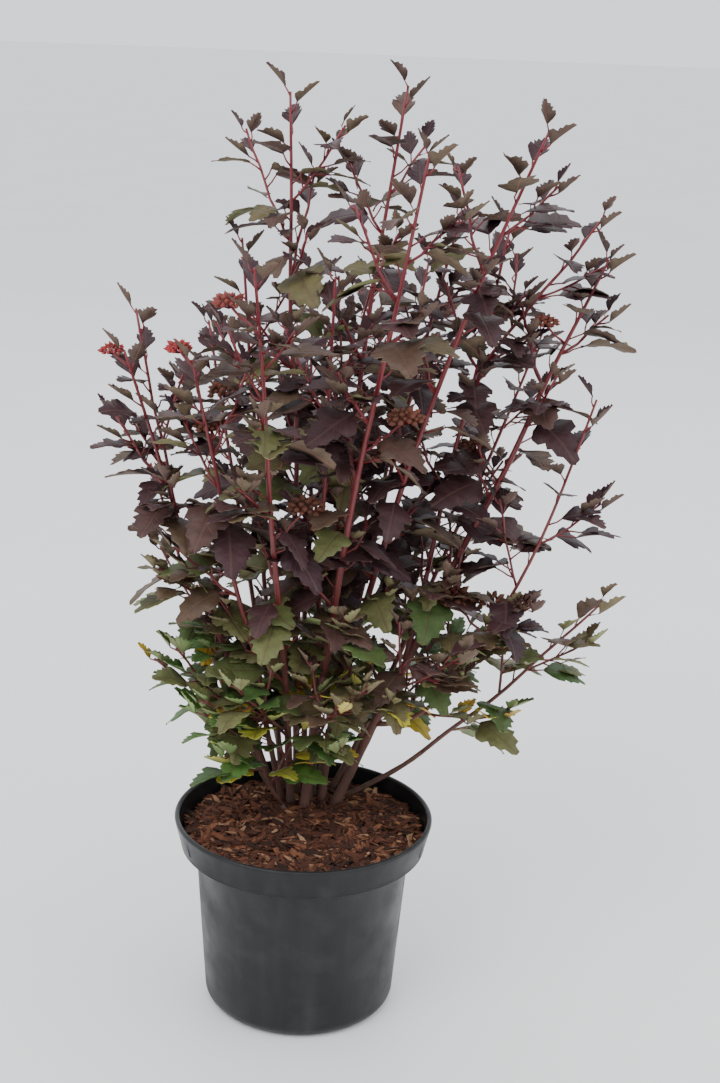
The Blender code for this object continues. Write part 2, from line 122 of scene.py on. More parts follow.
# %% [markdown]
# ## A helper for finishes
# Each finish is a Principled shader with a few nodes before it. They could be wired by hand in the
# shader editor. These small helpers add a node, set its inputs and join it to the next, so that
# each recipe below reads like a list.
# Patterns are read in Object coordinates, or from the leaf's own map where they follow its veins.

# %% Shader helpers
class Finish:
    """A material and the few nodes that colour it."""

    def __init__(self, name, roughness, specular=0.5):
        self.material = bpy.data.materials.new(name)
        self.material.use_nodes = True
        self.tree = self.material.node_tree
        self.shader = self.tree.nodes["Principled BSDF"]
        self.shader.inputs["Roughness"].default_value = roughness
        self.shader.inputs["Specular IOR Level"].default_value = specular
        self.place = self.tree.nodes.new("ShaderNodeTexCoord").outputs["Object"]

    def node(self, kind, settings=(), **inputs):
        """A shader node with its settings and inputs, each a value or another node's output."""
        made = self.tree.nodes.new("ShaderNode" + kind)
        for name, value in dict(settings).items():
            setattr(made, name, value)
        for name, value in inputs.items():
            self.join(value, made.inputs[name.replace("_", " ")])
        return made

    def join(self, value, socket):
        if isinstance(value, bpy.types.NodeSocket):
            self.tree.links.new(value, socket)
        else:
            socket.default_value = value

    def noise(self, scale, detail=3.0, stretch=(1, 1, 1)):
        """Clouds of about 1 / scale metres, drawn out where stretch is small."""
        moved = self.node("Mapping", Vector=self.place, Scale=stretch)
        clouds = self.node("TexNoise", Vector=moved.outputs["Vector"], Scale=scale, Detail=detail)
        return clouds.outputs["Fac"]

    def attribute(self, name):
        return self.node("Attribute", {"attribute_name": name}).outputs["Fac"]

    def ramp(self, value, stops):
        """Colours that follow a value from 0 to 1."""
        made = self.node("ValToRGB", Fac=value)
        band = made.color_ramp
        while len(band.elements) < len(stops):
            band.elements.new(0.5)
        for element, (at, colour) in zip(band.elements, stops):
            element.position = at
            element.color = (*colour, 1)
        return made.outputs["Color"]

    def sums(self, operation, first, second):
        """One step of arithmetic on two values."""
        made = self.tree.nodes.new("ShaderNodeMath")
        made.operation = operation
        self.join(first, made.inputs[0])
        self.join(second, made.inputs[1])
        return made.outputs["Value"]

    def blend(self, factor, first, second, mode="MIX"):
        """Two colours mixed, from the first at 0 to the second at 1."""
        made = self.node("Mix", {"data_type": "RGBA", "blend_type": mode})
        self.join(factor, made.inputs[0])
        self.join(first, made.inputs[6])
        self.join(second, made.inputs[7])
        return made.outputs[2]

    def relief(self, height, depth, strength):
        """Small bumps from a height pattern."""
        made = self.node("Bump", Height=height, Distance=depth, Strength=strength)
        self.tree.links.new(made.outputs["Normal"], self.shader.inputs["Normal"])

    def colour(self, value):
        self.join(value, self.shader.inputs["Base Color"])

    def gloss(self, value):
        self.join(value, self.shader.inputs["Roughness"])


def grey(level):
    """A grey for a ramp."""
    return (level, level, level)


print("helpers for finishes are ready")

# %% [markdown]
# ## The floor
# The pot stands on something plain and pale. A filled circle is enough, wide enough that its edge
# is never near the plant, so that it looks the same from every side.

# %% Floor
ground = Finish("floor_white", 0.55)
ground.colour(ground.ramp(ground.noise(3.0), [(0.3, grey(0.86)), (0.7, grey(0.89))]))
bm = bmesh.new()
bmesh.ops.create_circle(bm, cap_ends=True, segments=96, radius=FLOOR_RADIUS)
floor_mesh = bpy.data.meshes.new("floor")
bm.to_mesh(floor_mesh)
bm.free()
floor_mesh.materials.append(ground.material)
floor = bpy.data.objects.new("floor", floor_mesh)
bpy.context.scene.collection.objects.link(floor)
print("floor of radius", FLOOR_RADIUS, "m")

# %% [markdown]
# ## From a small mesh to a heap of copies
# A shrub repeats itself: thousands of leaves, stalks and chips of bark. Each kind is modelled a few
# times with bmesh tools. A heap then lays out transformed copies of those few meshes and makes one
# object of them, which is far quicker than joining thousands of objects. Every copy also carries a
# number called tone, by which the finish deals out its colours leaf by leaf.

# %% Heap of copies
class Heap:
    """Many copies of a few small meshes, laid out as one mesh."""

    def __init__(self):
        self.points = []
        self.faces = []
        self.slots = []
        self.maps = []
        self.tones = []

    def add(self, shape, matrix, tone):
        """Lays down one copy of a small mesh."""
        points, faces, slots, maps = shape
        start = len(self.points)
        self.points.extend(matrix @ point for point in points)
        self.faces.extend([start + index for index in face] for face in faces)
        self.slots.extend(slots)
        self.maps.extend(maps)
        self.tones.extend([tone] * len(points))

    def build(self, name, finishes, slot, nodes):
        """Makes one object of all the copies. It stands for the given solids."""
        mesh = bpy.data.meshes.new(name)
        mesh.from_pydata(self.points, [], self.faces)
        mesh.polygons.foreach_set("material_index", self.slots)
        layer = mesh.uv_layers.new(name="surface")
        layer.data.foreach_set("uv", [value for pair in self.maps for value in pair])
        tone = mesh.attributes.new("tone", "FLOAT", "POINT")
        tone.data.foreach_set("value", self.tones)
        mesh.shade_smooth()
        for finish in finishes:
            mesh.materials.append(finish.material)
        return add_piece(name, mesh, nodes)


def add_piece(name, mesh, nodes):
    """Puts a finished mesh in the scene, riding on the plant's one body."""
    obj = bpy.data.objects.new(name, mesh)
    bpy.context.scene.collection.objects.link(obj)
    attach(obj, "root")
    if nodes:
        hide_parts(*nodes)
    mesh.calc_loop_triangles()
    print(name, len(mesh.loop_triangles), "triangles")
    return obj


def shape_of(bm, map_of=None):
    """The points, faces, slots and map of a bmesh, which is then freed."""
    bm.verts.index_update()
    points = [vertex.co.copy() for vertex in bm.verts]
    faces = [[vertex.index for vertex in face.verts] for face in bm.faces]
    slots = [face.material_index for face in bm.faces]
    corners = [points[index] for face in faces for index in face]
    maps = [map_of(corner) if map_of else (0.0, 0.0) for corner in corners]
    bm.free()
    return points, faces, slots, maps


print("a heap lays out copies of small meshes")

# %% [markdown]
# ## The pot
# A nursery pot is blown or injected from thin black plastic: a rolled lip, a collar that lets the
# pots stack, a step, a tapering wall and a rounded foot. It could be lofted from circles, but it is
# round, so one profile spun about the upright axis gives it in a single step. The sizes come from
# the solid in the frame, and the profile only adds what a coarse solid leaves out.

# %% Pot
POT_STEPS = 128
POT_WALL = 1.8 * MM
COLLAR_HEIGHT = 21 * MM
COLLAR_DRAFT = 4.5 * MM
STEP_HEIGHT = 3 * MM
STEP_IN = 10 * MM
FOOT_DRAFT = 7 * MM
FOOT_ROUNDING = 9 * MM
LIP_ROLL = 1.7 * MM
LIP_UNDER = 3.0 * MM
LIP_STEP = 0.5 * MM
LINE_PROUD = 0.5 * MM
LINE_TOP = 3.4 * MM
LINE_FOOT = 2.6 * MM
EDGE = 0.8 * MM
SHARP = math.radians(38)

pot_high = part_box("pot")[1]
rim_radius = pot_high[0]
pot_height = pot_high[2]
collar_radius = rim_radius - COLLAR_DRAFT
collar_foot = pot_height - COLLAR_HEIGHT
wall_radius = collar_radius - STEP_IN
foot_radius = wall_radius - FOOT_DRAFT


def arc(centre, radius, first, last, steps):
    """Points of an arc, as radius and height."""
    points = []
    for step in range(steps + 1):
        angle = math.radians(first + (last - first) * step / steps)
        points.append((centre[0] + radius * math.cos(angle), centre[1] + radius * math.sin(angle)))
    return points


def spun(profile, steps):
    """A closed profile from axis to axis, turned full circle."""
    bm = bmesh.new()
    points = [bm.verts.new((radius, 0, height)) for radius, height in profile]
    edges = [bm.edges.new(pair) for pair in zip(points, points[1:])]
    bmesh.ops.spin(bm, geom=points + edges, cent=(0, 0, 0), axis=(0, 0, 1), angle=math.tau,
                   steps=steps, use_merge=True)
    bmesh.ops.remove_doubles(bm, verts=bm.verts, dist=0.01 * MM)
    bmesh.ops.recalc_face_normals(bm, faces=bm.faces)
    return bm


inside = [
    (0, POT_WALL),
    *arc((foot_radius - FOOT_ROUNDING, FOOT_ROUNDING), FOOT_ROUNDING - POT_WALL, -90, 0, 4),
    (wall_radius - POT_WALL, collar_foot - STEP_HEIGHT + POT_WALL),
    (collar_radius - POT_WALL, collar_foot + POT_WALL),
    (rim_radius - 2 * LIP_ROLL, pot_height - LIP_UNDER),
]
outside = [
    *arc((rim_radius - LIP_ROLL, pot_height - LIP_ROLL), LIP_ROLL, 170, -20, 10),
    (rim_radius - LIP_STEP, pot_height - 5 * EDGE),
    (collar_radius + LINE_PROUD, collar_foot + LINE_TOP),
    (collar_radius + LINE_PROUD, collar_foot + LINE_FOOT),
    (collar_radius, collar_foot + LINE_FOOT - 0.6 * MM),
    (collar_radius, collar_foot + 0.6 * MM),
    (collar_radius - EDGE, collar_foot),
    (wall_radius + EDGE, collar_foot - STEP_HEIGHT + LIP_STEP),
    (wall_radius, collar_foot - STEP_HEIGHT - EDGE),
    *arc((foot_radius - FOOT_ROUNDING, FOOT_ROUNDING), FOOT_ROUNDING, 0, -90, 10),
    (0, 0),
]
print("pot: radius", round(rim_radius / MM, 1), "mm, height", round(pot_height / MM, 1), "mm")

# %% [markdown]
# ## Black plastic
# The plastic is nearly black with a satin gloss. Use has left a thin grey film in clouds, and fine
# upright streaks of painted reflection lighten the wall. The film changes both the colour and the
# gloss, so both are driven by noise, and the streaks are the same noise drawn out along the height.

# %% Plastic and the pot's shell
plastic = Finish("black_plastic", 0.4, 0.32)
film = plastic.ramp(plastic.noise(55.0, 6.0), [(0.50, grey(0.0)), (0.78, grey(1.0))])
# Painted reflection: fine upright streaks that lighten the plastic's colour, mixed below with the grey film.
painted_reflection_streaks = plastic.ramp(plastic.noise(60.0, 3.0, (1, 1, 0.06)), [(0.45, grey(0.0)), (0.75, grey(1.0))])
marks = plastic.blend(0.45, film, painted_reflection_streaks)
plastic.colour(plastic.blend(marks, (0.006, 0.0065, 0.007, 1), (0.024, 0.025, 0.026, 1)))
plastic.gloss(plastic.ramp(plastic.noise(32.0, 5.0), [(0.35, grey(0.30)), (0.70, grey(0.55))]))
plastic.relief(plastic.noise(240.0, 4.0), 0.12 * MM, 0.5)

pot_bm = spun(inside + outside, POT_STEPS)
for face in pot_bm.faces:
    face.smooth = True
pot_mesh = bpy.data.meshes.new("pot_shell")
pot_bm.to_mesh(pot_mesh)
pot_bm.free()
pot_mesh.set_sharp_from_angle(angle=SHARP)
pot_mesh.materials.append(plastic.material)
add_piece("pot_shell", pot_mesh, ["pot"])

# %% [markdown]
# ## Mould marks
# Where the two halves of the mould met, the collar keeps a thin upright ridge. It could be bump in
# the plastic, but a ridge that breaks the outline has to be real. It is a small bevelled bar, laid
# on the collar's slope at either side.

# %% Mould marks
MARK_BEARINGS = (-152, -22)
MARK_SIZE = (0.9 * MM, 1.4 * MM, 11 * MM)
MARK_HEIGHT = 0.52
MARK_BEVEL = 0.25 * MM

marks_bm = bmesh.new()
middle = (rim_radius + collar_radius) / 2
lean = math.atan2(COLLAR_DRAFT, COLLAR_HEIGHT)
for bearing in MARK_BEARINGS:
    matrix = (Matrix.Rotation(math.radians(bearing), 4, "Z")
              @ Matrix.Translation((middle, 0, collar_foot + COLLAR_HEIGHT * MARK_HEIGHT))
              @ Matrix.Rotation(lean, 4, "Y") @ Matrix.Diagonal((*MARK_SIZE, 1)))
    bmesh.ops.create_cube(marks_bm, size=1, matrix=matrix)
bmesh.ops.bevel(marks_bm, geom=list(marks_bm.edges), offset=MARK_BEVEL, affect="EDGES", segments=2,
                profile=0.5, material=-1)
marks_mesh = bpy.data.meshes.new("mould_marks")
marks_bm.to_mesh(marks_mesh)
marks_bm.free()
marks_mesh.materials.append(plastic.material)
add_piece("mould_marks", marks_mesh, [])

# %% [markdown]
# ## Shredded bark
# The pot is filled with bark mulch: dark crumbs with flat red-brown shreds and a few tan splinters
# on top. A bumpy disc alone would look like a carpet. So a grid is drawn into a disc and roughened
# for the crumbs, and a heap of small irregular slabs is strewn over it for the shreds.

# %% Filling of the pot
SOIL_CELLS = 110
SOIL_LEVEL_RADIUS = 74 * MM
SOIL_EDGE_DROP = 3.5 * MM
CRUMB_DEPTH = 2.6 * MM
CRUMB_SCALES = (85, 330)
CRUMB_SHARES = (0.55, 0.45)
SOIL_BODY = 12 * MM
SOIL_OVERHANG = 1.3 * MM
BED_TONE = 0.22
soil_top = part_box("soil")[1][2]
soil_radius = collar_radius - POT_WALL + SOIL_OVERHANG


def soil_height(x, y):
    """The height of the filling, with its crumbs."""
    reach = math.hypot(x, y)
    drop = SOIL_EDGE_DROP * max(0.0, (reach - SOIL_LEVEL_RADIUS) / (soil_radius - SOIL_LEVEL_RADIUS))
    coarse = CRUMB_SHARES[0] * noise.noise(Vector((x, y, 0)) * CRUMB_SCALES[0])
    fine = CRUMB_SHARES[1] * noise.noise(Vector((x, y, 1)) * CRUMB_SCALES[1])
    return soil_top - drop - CRUMB_DEPTH * 0.5 + CRUMB_DEPTH * (coarse + fine)


mulch = Finish("bark_mulch", 0.88, 0.3)
tone = mulch.attribute("tone")
grain = mulch.noise(420.0, 4.0)
wood = mulch.ramp(tone, [(0.0, (0.012, 0.007, 0.005)), (0.35, (0.060, 0.020, 0.011)),
                         (0.65, (0.150, 0.050, 0.024)), (0.88, (0.260, 0.105, 0.050)),
                         (1.0, (0.420, 0.250, 0.140))])
shade = mulch.ramp(grain, [(0.3, grey(0.0)), (0.7, grey(0.6))])
mulch.colour(mulch.blend(shade, wood, (0.02, 0.01, 0.008, 1)))
mulch.relief(mulch.noise(900.0, 5.0), 0.4 * MM, 0.8)

soil_bm = bmesh.new()
bmesh.ops.create_grid(soil_bm, x_segments=SOIL_CELLS, y_segments=SOIL_CELLS, size=1)
for vertex in soil_bm.verts:
    u, v = vertex.co.x, vertex.co.y
    x = u * math.sqrt(1 - v * v / 2) * soil_radius
    y = v * math.sqrt(1 - u * u / 2) * soil_radius
    vertex.co = (x, y, soil_height(x, y))
edge = [edge for edge in soil_bm.edges if edge.is_boundary]
grown = bmesh.ops.extrude_edge_only(soil_bm, edges=edge)["geom"]
skirt = [item for item in grown if isinstance(item, bmesh.types.BMVert)]
inner = (wall_radius - POT_WALL) / soil_radius
for vertex in skirt:
    vertex.co = (vertex.co.x * inner, vertex.co.y * inner, soil_top - SOIL_BODY)
rim = [item for item in grown if isinstance(item, bmesh.types.BMEdge)]
bmesh.ops.contextual_create(soil_bm, geom=rim)
bmesh.ops.recalc_face_normals(soil_bm, faces=soil_bm.faces)
heap = Heap()
heap.add(shape_of(soil_bm), Matrix(), BED_TONE)
heap.build("soil_bed", [mulch], "bark_mulch", ["soil"])

# %% [markdown]
# ## Shreds of bark
# The shreds are flat splinters, 3 to 16 mm long, that lie mostly level and at every bearing. Eight
# shapes are enough, because each copy gets its own length, width, tilt and tone. A particle system
# could strew them too, but plain copies are real mesh that stays with the model.

# %% Strew the shreds
CHIPS = 3400
CHIP_SHAPES = 8
CHIP_LENGTHS = (3.5, 5, 7, 9, 12, 15)
CHIP_WIDEST = 4.2 * MM
CHIP_TILT = (0.22, 0.45)
CHIP_EDGE = 2.5 * MM
TAN_SHARE = 0.05


def chip_shape(index):
    """An irregular slab, one unit long: a cube with its corners pushed about and its ends drawn in."""
    draw = random.Random(f"chip {index}")
    bm = bmesh.new()
    bmesh.ops.create_cube(bm, size=1)
    long = [edge for edge in bm.edges if abs(edge.verts[0].co.x - edge.verts[1].co.x) > 0.5]
    bmesh.ops.subdivide_edges(bm, edges=long, cuts=1)
    for vertex in bm.verts:
        ends = 1.0 - draw.uniform(0.2, 0.75) * (abs(vertex.co.x) * 2)
        vertex.co.y *= ends
        vertex.co.z *= 1.0 - 0.5 * abs(vertex.co.x) * 2
        push = (draw.uniform(-0.12, 0.12), draw.uniform(-0.1, 0.1), draw.uniform(-0.12, 0.12))
        vertex.co += Vector(push)
    return shape_of(bm)


chip_shapes = [chip_shape(index) for index in range(CHIP_SHAPES)]
heap = Heap()
draw = random.Random("mulch")
for index in range(CHIPS):
    reach = (soil_radius - CHIP_EDGE) * math.sqrt(draw.random())
    angle = draw.uniform(0, math.tau)
    x, y = reach * math.cos(angle), reach * math.sin(angle)
    length = draw.choice(CHIP_LENGTHS) * MM * draw.uniform(0.8, 1.1)
    width = min(length * draw.uniform(0.16, 0.5), CHIP_WIDEST)
    length = min(length, 2 * (soil_radius - reach) + 3 * MM)
    matrix = (Matrix.Translation((x, y, soil_height(x, y) + draw.uniform(0.1, 1.4) * MM))
              @ Matrix.Rotation(draw.uniform(0, math.tau), 4, "Z")
              @ Matrix.Rotation(draw.gauss(0, CHIP_TILT[0]), 4, "Y")
              @ Matrix.Rotation(draw.gauss(0, CHIP_TILT[1]), 4, "X")
              @ Matrix.Diagonal((length, width, draw.uniform(0.6, 1.5) * MM, 1)))
    if draw.random() > TAN_SHARE:
        shade = min(1.0, max(0.0, draw.gauss(0.46, 0.22)))
    else:
        shade = draw.uniform(0.88, 1.0)
    heap.add(draw.choice(chip_shapes), matrix, shade)
chips = heap.build("bark_shreds", [mulch], "bark_mulch", [])
chips.data.shade_flat()

# %% [markdown]
# ## How the shrub grows
# The solids of the shrub follow a seeded rule: stems rise from one clump and bend outward, leaves
# stand in a spiral up each shoot, closer towards its tip, and side twigs start at every so many
# leaves. The same rule is written here, with the same sizes and the same random streams, so every
# limb lies along its solid. It is then carried on to more leaves and finer twigs.

# %% Driving sizes of the shrub, in millimetres
SOIL_TOP = 122.0
TIP_THICKNESS = 0.75
TAPER = 0.85
SHARED_TURN = math.radians(137.5)
NODE_GAP = 27.0
LOW_NODE_GAP = 18.0
TWIG_NODE_GAP = 15.0
LEAF_LENGTH = 35.0
PETIOLE = 0.42
TIP_NODE = 3.0
ROOT_NODE = 8.0
FIRST_TWIG = 5
TWIG_EVERY = 8
TWIG_REACH = 58.0
TWIG_PITCH = 42.0
TWIG_BEND = 0.22
LEAF_PITCH = 50.0
BUD_PITCH = 26.0
BUD_RISE = 52.0
LEAF_DROOP = (-24.0, 12.0)
LEAF_ROLL = 24.0
LEAF_VARIES = (0.84, 1.12)
OLD_LEAF = 5

# A stem: its foot and tip, its rise (over 1 it climbs first and leans out later), the share of it
# that is bare, and its radius at the foot.
STEMS = {
    "left_high": ((-5, 50), (-21, 20, 592), 1.0, 0.27, 2.4),
    "top": ((5, 46), (49, 20, 598), 1.5, 0.27, 2.6),
    "front_right": ((0, 29), (56, -110, 568), 1.25, 0.24, 2.9),
    "front_left": ((-9, 36), (-35, -120, 506), 1.1, 0.25, 2.6),
    "far_left": ((-18, 46), (-114, -30, 442), 0.95, 0.30, 2.3),
    "inner_left": ((-15, 40), (-71, -70, 446), 1.0, 0.28, 2.1),
    "left_back": ((-14, 55), (-50, 60, 500), 0.9, 0.28, 2.1),
    "centre": ((3, 38), (9, -30, 490), 1.0, 0.28, 2.2),
    "right_high": ((12, 40), (126, -50, 579), 1.45, 0.28, 2.7),
    "far_right": ((20, 36), (176, 15, 500), 1.0, 0.36, 3.5),
    "low_right": ((22, 50), (190, 15, 280), 0.8, 0.34, 2.0),
    "centre_right": ((10, 55), (88, 60, 520), 1.2, 0.28, 2.1),
    "back_left": ((-11, 62), (-75, 130, 435), 0.9, 0.30, 2.2),
    "back": ((-1, 62), (-5, 170, 465), 1.1, 0.30, 2.3),
    "back_right": ((9, 64), (75, 150, 480), 1.0, 0.30, 2.3),
    "back_far_right": ((17, 60), (150, 100, 440), 0.9, 0.30, 2.2),
    "back_low_left": ((-20, 54), (-110, 85, 345), 0.8, 0.32, 2.0),
    "basal": ((-12, 26), (-38, 2, 184), 0.9, 0.14, 1.6),
}
# A branch: the stem that bears it, how far up, its tip, its rise, its bare share and its radius.
BRANCHES = {
    "right": ("far_right", 0.29, (116, 30, 515), 1.0, 0.22, 1.9),
    "arch_right": ("far_right", 0.17, (171, -10, 418), 0.50, 0.38, 1.7),
}
# A low twig or a fork: what bears it, how far up, its tip, its rise and its radius.
LOW_TWIGS = {
    "low_left": ("far_left", 0.20, (-85, 0, 245), 0.85, 1.1),
    "low_front_left": ("front_left", 0.17, (-45, -45, 238), 0.9, 1.1),
    "low_front": ("front_right", 0.15, (20, -60, 232), 0.9, 1.1),
    "low_right_front": ("right_high", 0.16, (95, -45, 262), 0.8, 1.1),
    "low_far_right": ("far_right", 0.25, (129, 0, 277), 0.8, 1.1),
    "low_right_back": ("back_far_right", 0.2, (110, 75, 235), 0.8, 1.1),
    "low_back": ("back", 0.2, (15, 135, 240), 0.9, 1.1),
    "low_back_left": ("back_left", 0.2, (-60, 105, 235), 0.85, 1.1),
}
FORKS = {
    "left": ("far_left", 0.60, (-111, 5, 462), 0.8, 1.2),
    "right_fork": ("right", 0.68, (171, 10, 527), 1.0, 1.2),
    "left_high_fork": ("left_high", 0.76, (-5, 40, 545), 1.0, 1.0),
    "centre_fork": ("top", 0.45, (12, 62, 478), 0.9, 1.1),
    "back_fork": ("back", 0.50, (35, 100, 470), 1.0, 1.1),
}

print(len(STEMS), "stems,", len(BRANCHES), "branches,", len(LOW_TWIGS), "low twigs,", len(FORKS), "forks")

# %% [markdown]
# ## A shoot
# A shoot could be a curve object with a bevel. Here it is a small class instead, because the leaves
# and twigs have to ask it for a place, a heading and a thickness at any share of its length. A
# slight sway, seeded by its tip, takes away the look of bent wire and dies out at both ends.

# %% Shoots
SWAY = 1.3 * MM
SWAY_WAVES = (9, 17)
SHARE_STEP = 0.02
TWIG_THICKEST = 1.15
TWIG_RISE = 0.85


def address(*words):
    """A random stream of its own for each place on the plant."""
    return random.Random(" ".join(str(word) for word in words))


def section(centre, axis, side, across, over):
    """A matrix that sets a unit ring at a place, square to axis, across wide and over deep."""
    axis = axis.normalized()
    side = (side - axis * side.dot(axis)).normalized()
    matrix = Matrix.Identity(4)
    for index, column in enumerate((side * across, axis.cross(side) * over, axis, centre)):
        matrix.col[index][:3] = column
    return matrix


class Shoot:
    """A tapering shoot that bends by its rise, with the slight sway of a grown one."""

    def __init__(self, foot, tip, rise, thick, thin=TIP_THICKNESS):
        self.foot, self.tip, self.rise = Vector(foot), Vector(tip), rise
        self.thick, self.thin = thick, thin
        draw = address(round(self.tip.x * 1e4), round(self.tip.y * 1e4), "sway")
        self.sway = [(draw.uniform(-1, 1), draw.uniform(-1, 1), draw.uniform(0, 6), wave)
                     for wave in SWAY_WAVES]
        ends = [self.place(step / 10) for step in range(11)]
        self.length = sum((b - a).length for a, b in zip(ends, ends[1:]))

    def place(self, share):
        """The middle of the shoot at a share of its length."""
        out = share ** max(1.0, self.rise)
        up = share ** max(1.0, 1.0 / self.rise)
        reach = self.tip - self.foot
        place = self.foot + Vector((reach.x * out, reach.y * out, reach.z * up))
        free = SWAY * math.sin(math.pi * min(1.0, share))
        for x, y, start, wave in self.sway:
            place += Vector((x, y, 0)) * free * math.sin(start + wave * share)
        return place

    def heading(self, share):
        high = self.place(min(share + SHARE_STEP, 1.0))
        low = self.place(max(share - SHARE_STEP, 0.0))
        return (high - low).normalized()

    def radius(self, share):
        return (self.thin + (self.thick - self.thin) * (1.0 - share) ** TAPER) * MM

    def side(self, share, turn):
        """A direction square to the shoot, turned round it by an angle."""
        axis = self.heading(share)
        return Matrix.Rotation(turn, 3, axis) @ axis.cross(Vector((0, 1, 0))).normalized()


def side_start(parent, at, tip, rise, thick):
    """A shoot whose end meets the side of another."""
    centre, axis = parent.place(at), parent.heading(at)
    lean = Shoot(centre, tip, rise, thick).heading(0.01)
    out = (lean - axis * lean.dot(axis)).normalized()
    return Shoot(centre + out * parent.radius(at) * 0.5, tip, rise, thick)


def node_shares(length, first, spacing):
    """Shares of a shoot where leaves stand, from the tip down, close together near the tip."""
    below, count, shares = TIP_NODE * MM, 0, []
    while below < length * (1.0 - first) - ROOT_NODE * MM:
        shares.append(1.0 - below / length)
        below += spacing * MM * min(1.0, 0.38 + 0.13 * count)
        count += 1
    return shares


def side_twig(shoot, share, turn, pitch, length):
    """A twig that leaves a shoot at a pitch and curves upward."""
    pitch = math.radians(pitch)
    heading = shoot.heading(share) * math.cos(pitch) + shoot.side(share, turn) * math.sin(pitch)
    foot = shoot.place(share)
    thick = min(TWIG_THICKEST, shoot.radius(share) / MM * 0.75)
    tip = foot + heading * length + UP * TWIG_BEND * length
    return Shoot(foot, tip, TWIG_RISE, max(thick, TIP_THICKNESS))


print("a shoot bends by its rise and tapers by its share")

# %% [markdown]
# ## Every shoot of every mass
# The limbs come first, then what they bear, in the order of the solids. Each mass is a list of
# leafy shoots: a name, the shoot, its bare share, the gap between its leaves and its vigour. Finer
# side twigs follow, and a few short low shoots on the upper bare part of each limb, which hide the
# limbs' middles with green leaves as on the real shrub.

# %% The shoots of every mass
ROOT_SUNK = 3
LOW_VIGOUR = 0.95
FORK_VIGOUR = 0.9
SIDE_VIGOUR = 0.8
FINE_FROM = 3
FINE_EVERY = 2
FINE_REACH = 42.0
FINE_NODE_GAP = 13.0
LOW_SHOOTS = 3
LOW_SHOOT_FROM = 0.42
LOW_SHOOT_REACH = 36.0
LOW_SHOOT_PITCH = 58.0
LOW_SHOOT_FOOT = 158.0
LOW_SHOOT_VIGOUR = 0.85

shoots = {}
limbs = []
masses = {}


def in_mm(place):
    """A place given in millimetres, in the scene's metres."""
    return Vector(place) * MM


for name, (foot, tip, rise, bare, thick) in STEMS.items():
    shoots[name] = Shoot(in_mm((*foot, SOIL_TOP - ROOT_SUNK)), in_mm(tip), rise, thick)
    masses[name] = [(name, shoots[name], bare, LOW_NODE_GAP if name == "basal" else NODE_GAP, 1.0)]
    limbs.append((name, shoots[name], bare))
for name, (parent, at, tip, rise, bare, thick) in BRANCHES.items():
    shoots[name] = side_start(shoots[parent], at, in_mm(tip), rise, thick)
    masses[name] = [(name, shoots[name], bare, NODE_GAP, 1.0)]
    limbs.append((name, shoots[name], bare))
for name, (parent, at, tip, rise, thick) in LOW_TWIGS.items():
    shoots[name] = side_start(shoots[parent], at, in_mm(tip), rise, thick)
    masses[name] = [(name, shoots[name], 0.0, LOW_NODE_GAP, LOW_VIGOUR)]
for name, (parent, at, tip, rise, thick) in FORKS.items():
    shoots[name] = Shoot(shoots[parent].place(at), in_mm(tip), rise, thick)
    masses[parent].append((name, shoots[name], 0.0, NODE_GAP, FORK_VIGOUR))
print(len(limbs), "limbs bear", len(masses), "masses of leaves")

# %% Side twigs and low shoots
for mass, grown in masses.items():
    for leader in list(grown):
        name, shoot, first, spacing, vigour = leader
        for count, share in enumerate(node_shares(shoot.length, first, spacing)):
            coarse = count >= FIRST_TWIG and (count - FIRST_TWIG) % TWIG_EVERY == 0
            fine = (count >= FINE_FROM and count % FINE_EVERY == 0) or mass == "basal"
            if not (coarse or fine):
                continue
            draw = address(mass, name, "twig", count)
            turn = count * SHARED_TURN + draw.uniform(-0.4, 0.4)
            reach = TWIG_REACH if coarse and leader is grown[0] else FINE_REACH
            twig = side_twig(shoot, share, turn, TWIG_PITCH, reach * MM * draw.uniform(0.7, 1.15))
            gap = TWIG_NODE_GAP if coarse else FINE_NODE_GAP
            size = 1.0 if mass == "basal" else SIDE_VIGOUR * vigour
            grown.append((f"{name}_twig_{count}", twig, 0.0, gap, size))
for name, shoot, bare in limbs:
    for step in range(LOW_SHOOTS):
        share = bare * (LOW_SHOOT_FROM + (1 - LOW_SHOOT_FROM) * step / LOW_SHOOTS)
        draw = address(name, "low shoot", step)
        reach = LOW_SHOOT_REACH * MM * draw.uniform(0.7, 1.2)
        twig = side_twig(shoot, share, draw.uniform(0, math.tau), LOW_SHOOT_PITCH, reach)
        if twig.foot.z > LOW_SHOOT_FOOT * MM:
            masses[name].append((f"{name}_low_{step}", twig, 0.0, FINE_NODE_GAP, LOW_SHOOT_VIGOUR))
print(sum(len(grown) for grown in masses.values()), "leafy shoots")

# %% [markdown]
# ## Bark
# Young ninebark stems are smooth and crimson, and turn grey-brown and faintly ridged towards the
# soil. A curve with a bevel would do, with its radius set point by point. Here each is a ring that
# is extruded and moved along its shoot, which gives a closed mesh at once and swells where it has
# to. One number per point tells the finish how old the bark is, from 0 at the soil to 1 in the crown.

# %% Bark finish and tubes
LIMB_SIDES = 10
TWIG_SIDES = 6
LIMB_STEP = 9 * MM
TWIG_STEP = 12 * MM
FOOT_FLARE = 0.35
FLARE_HEIGHT = 12 * MM
KNOTS = 0.06
KNOT_TURN = 2.4
YOUNG_BARK_HEIGHT = 0.484
TWIG_AGE = 0.12
SOIL_LEVEL = SOIL_TOP * MM

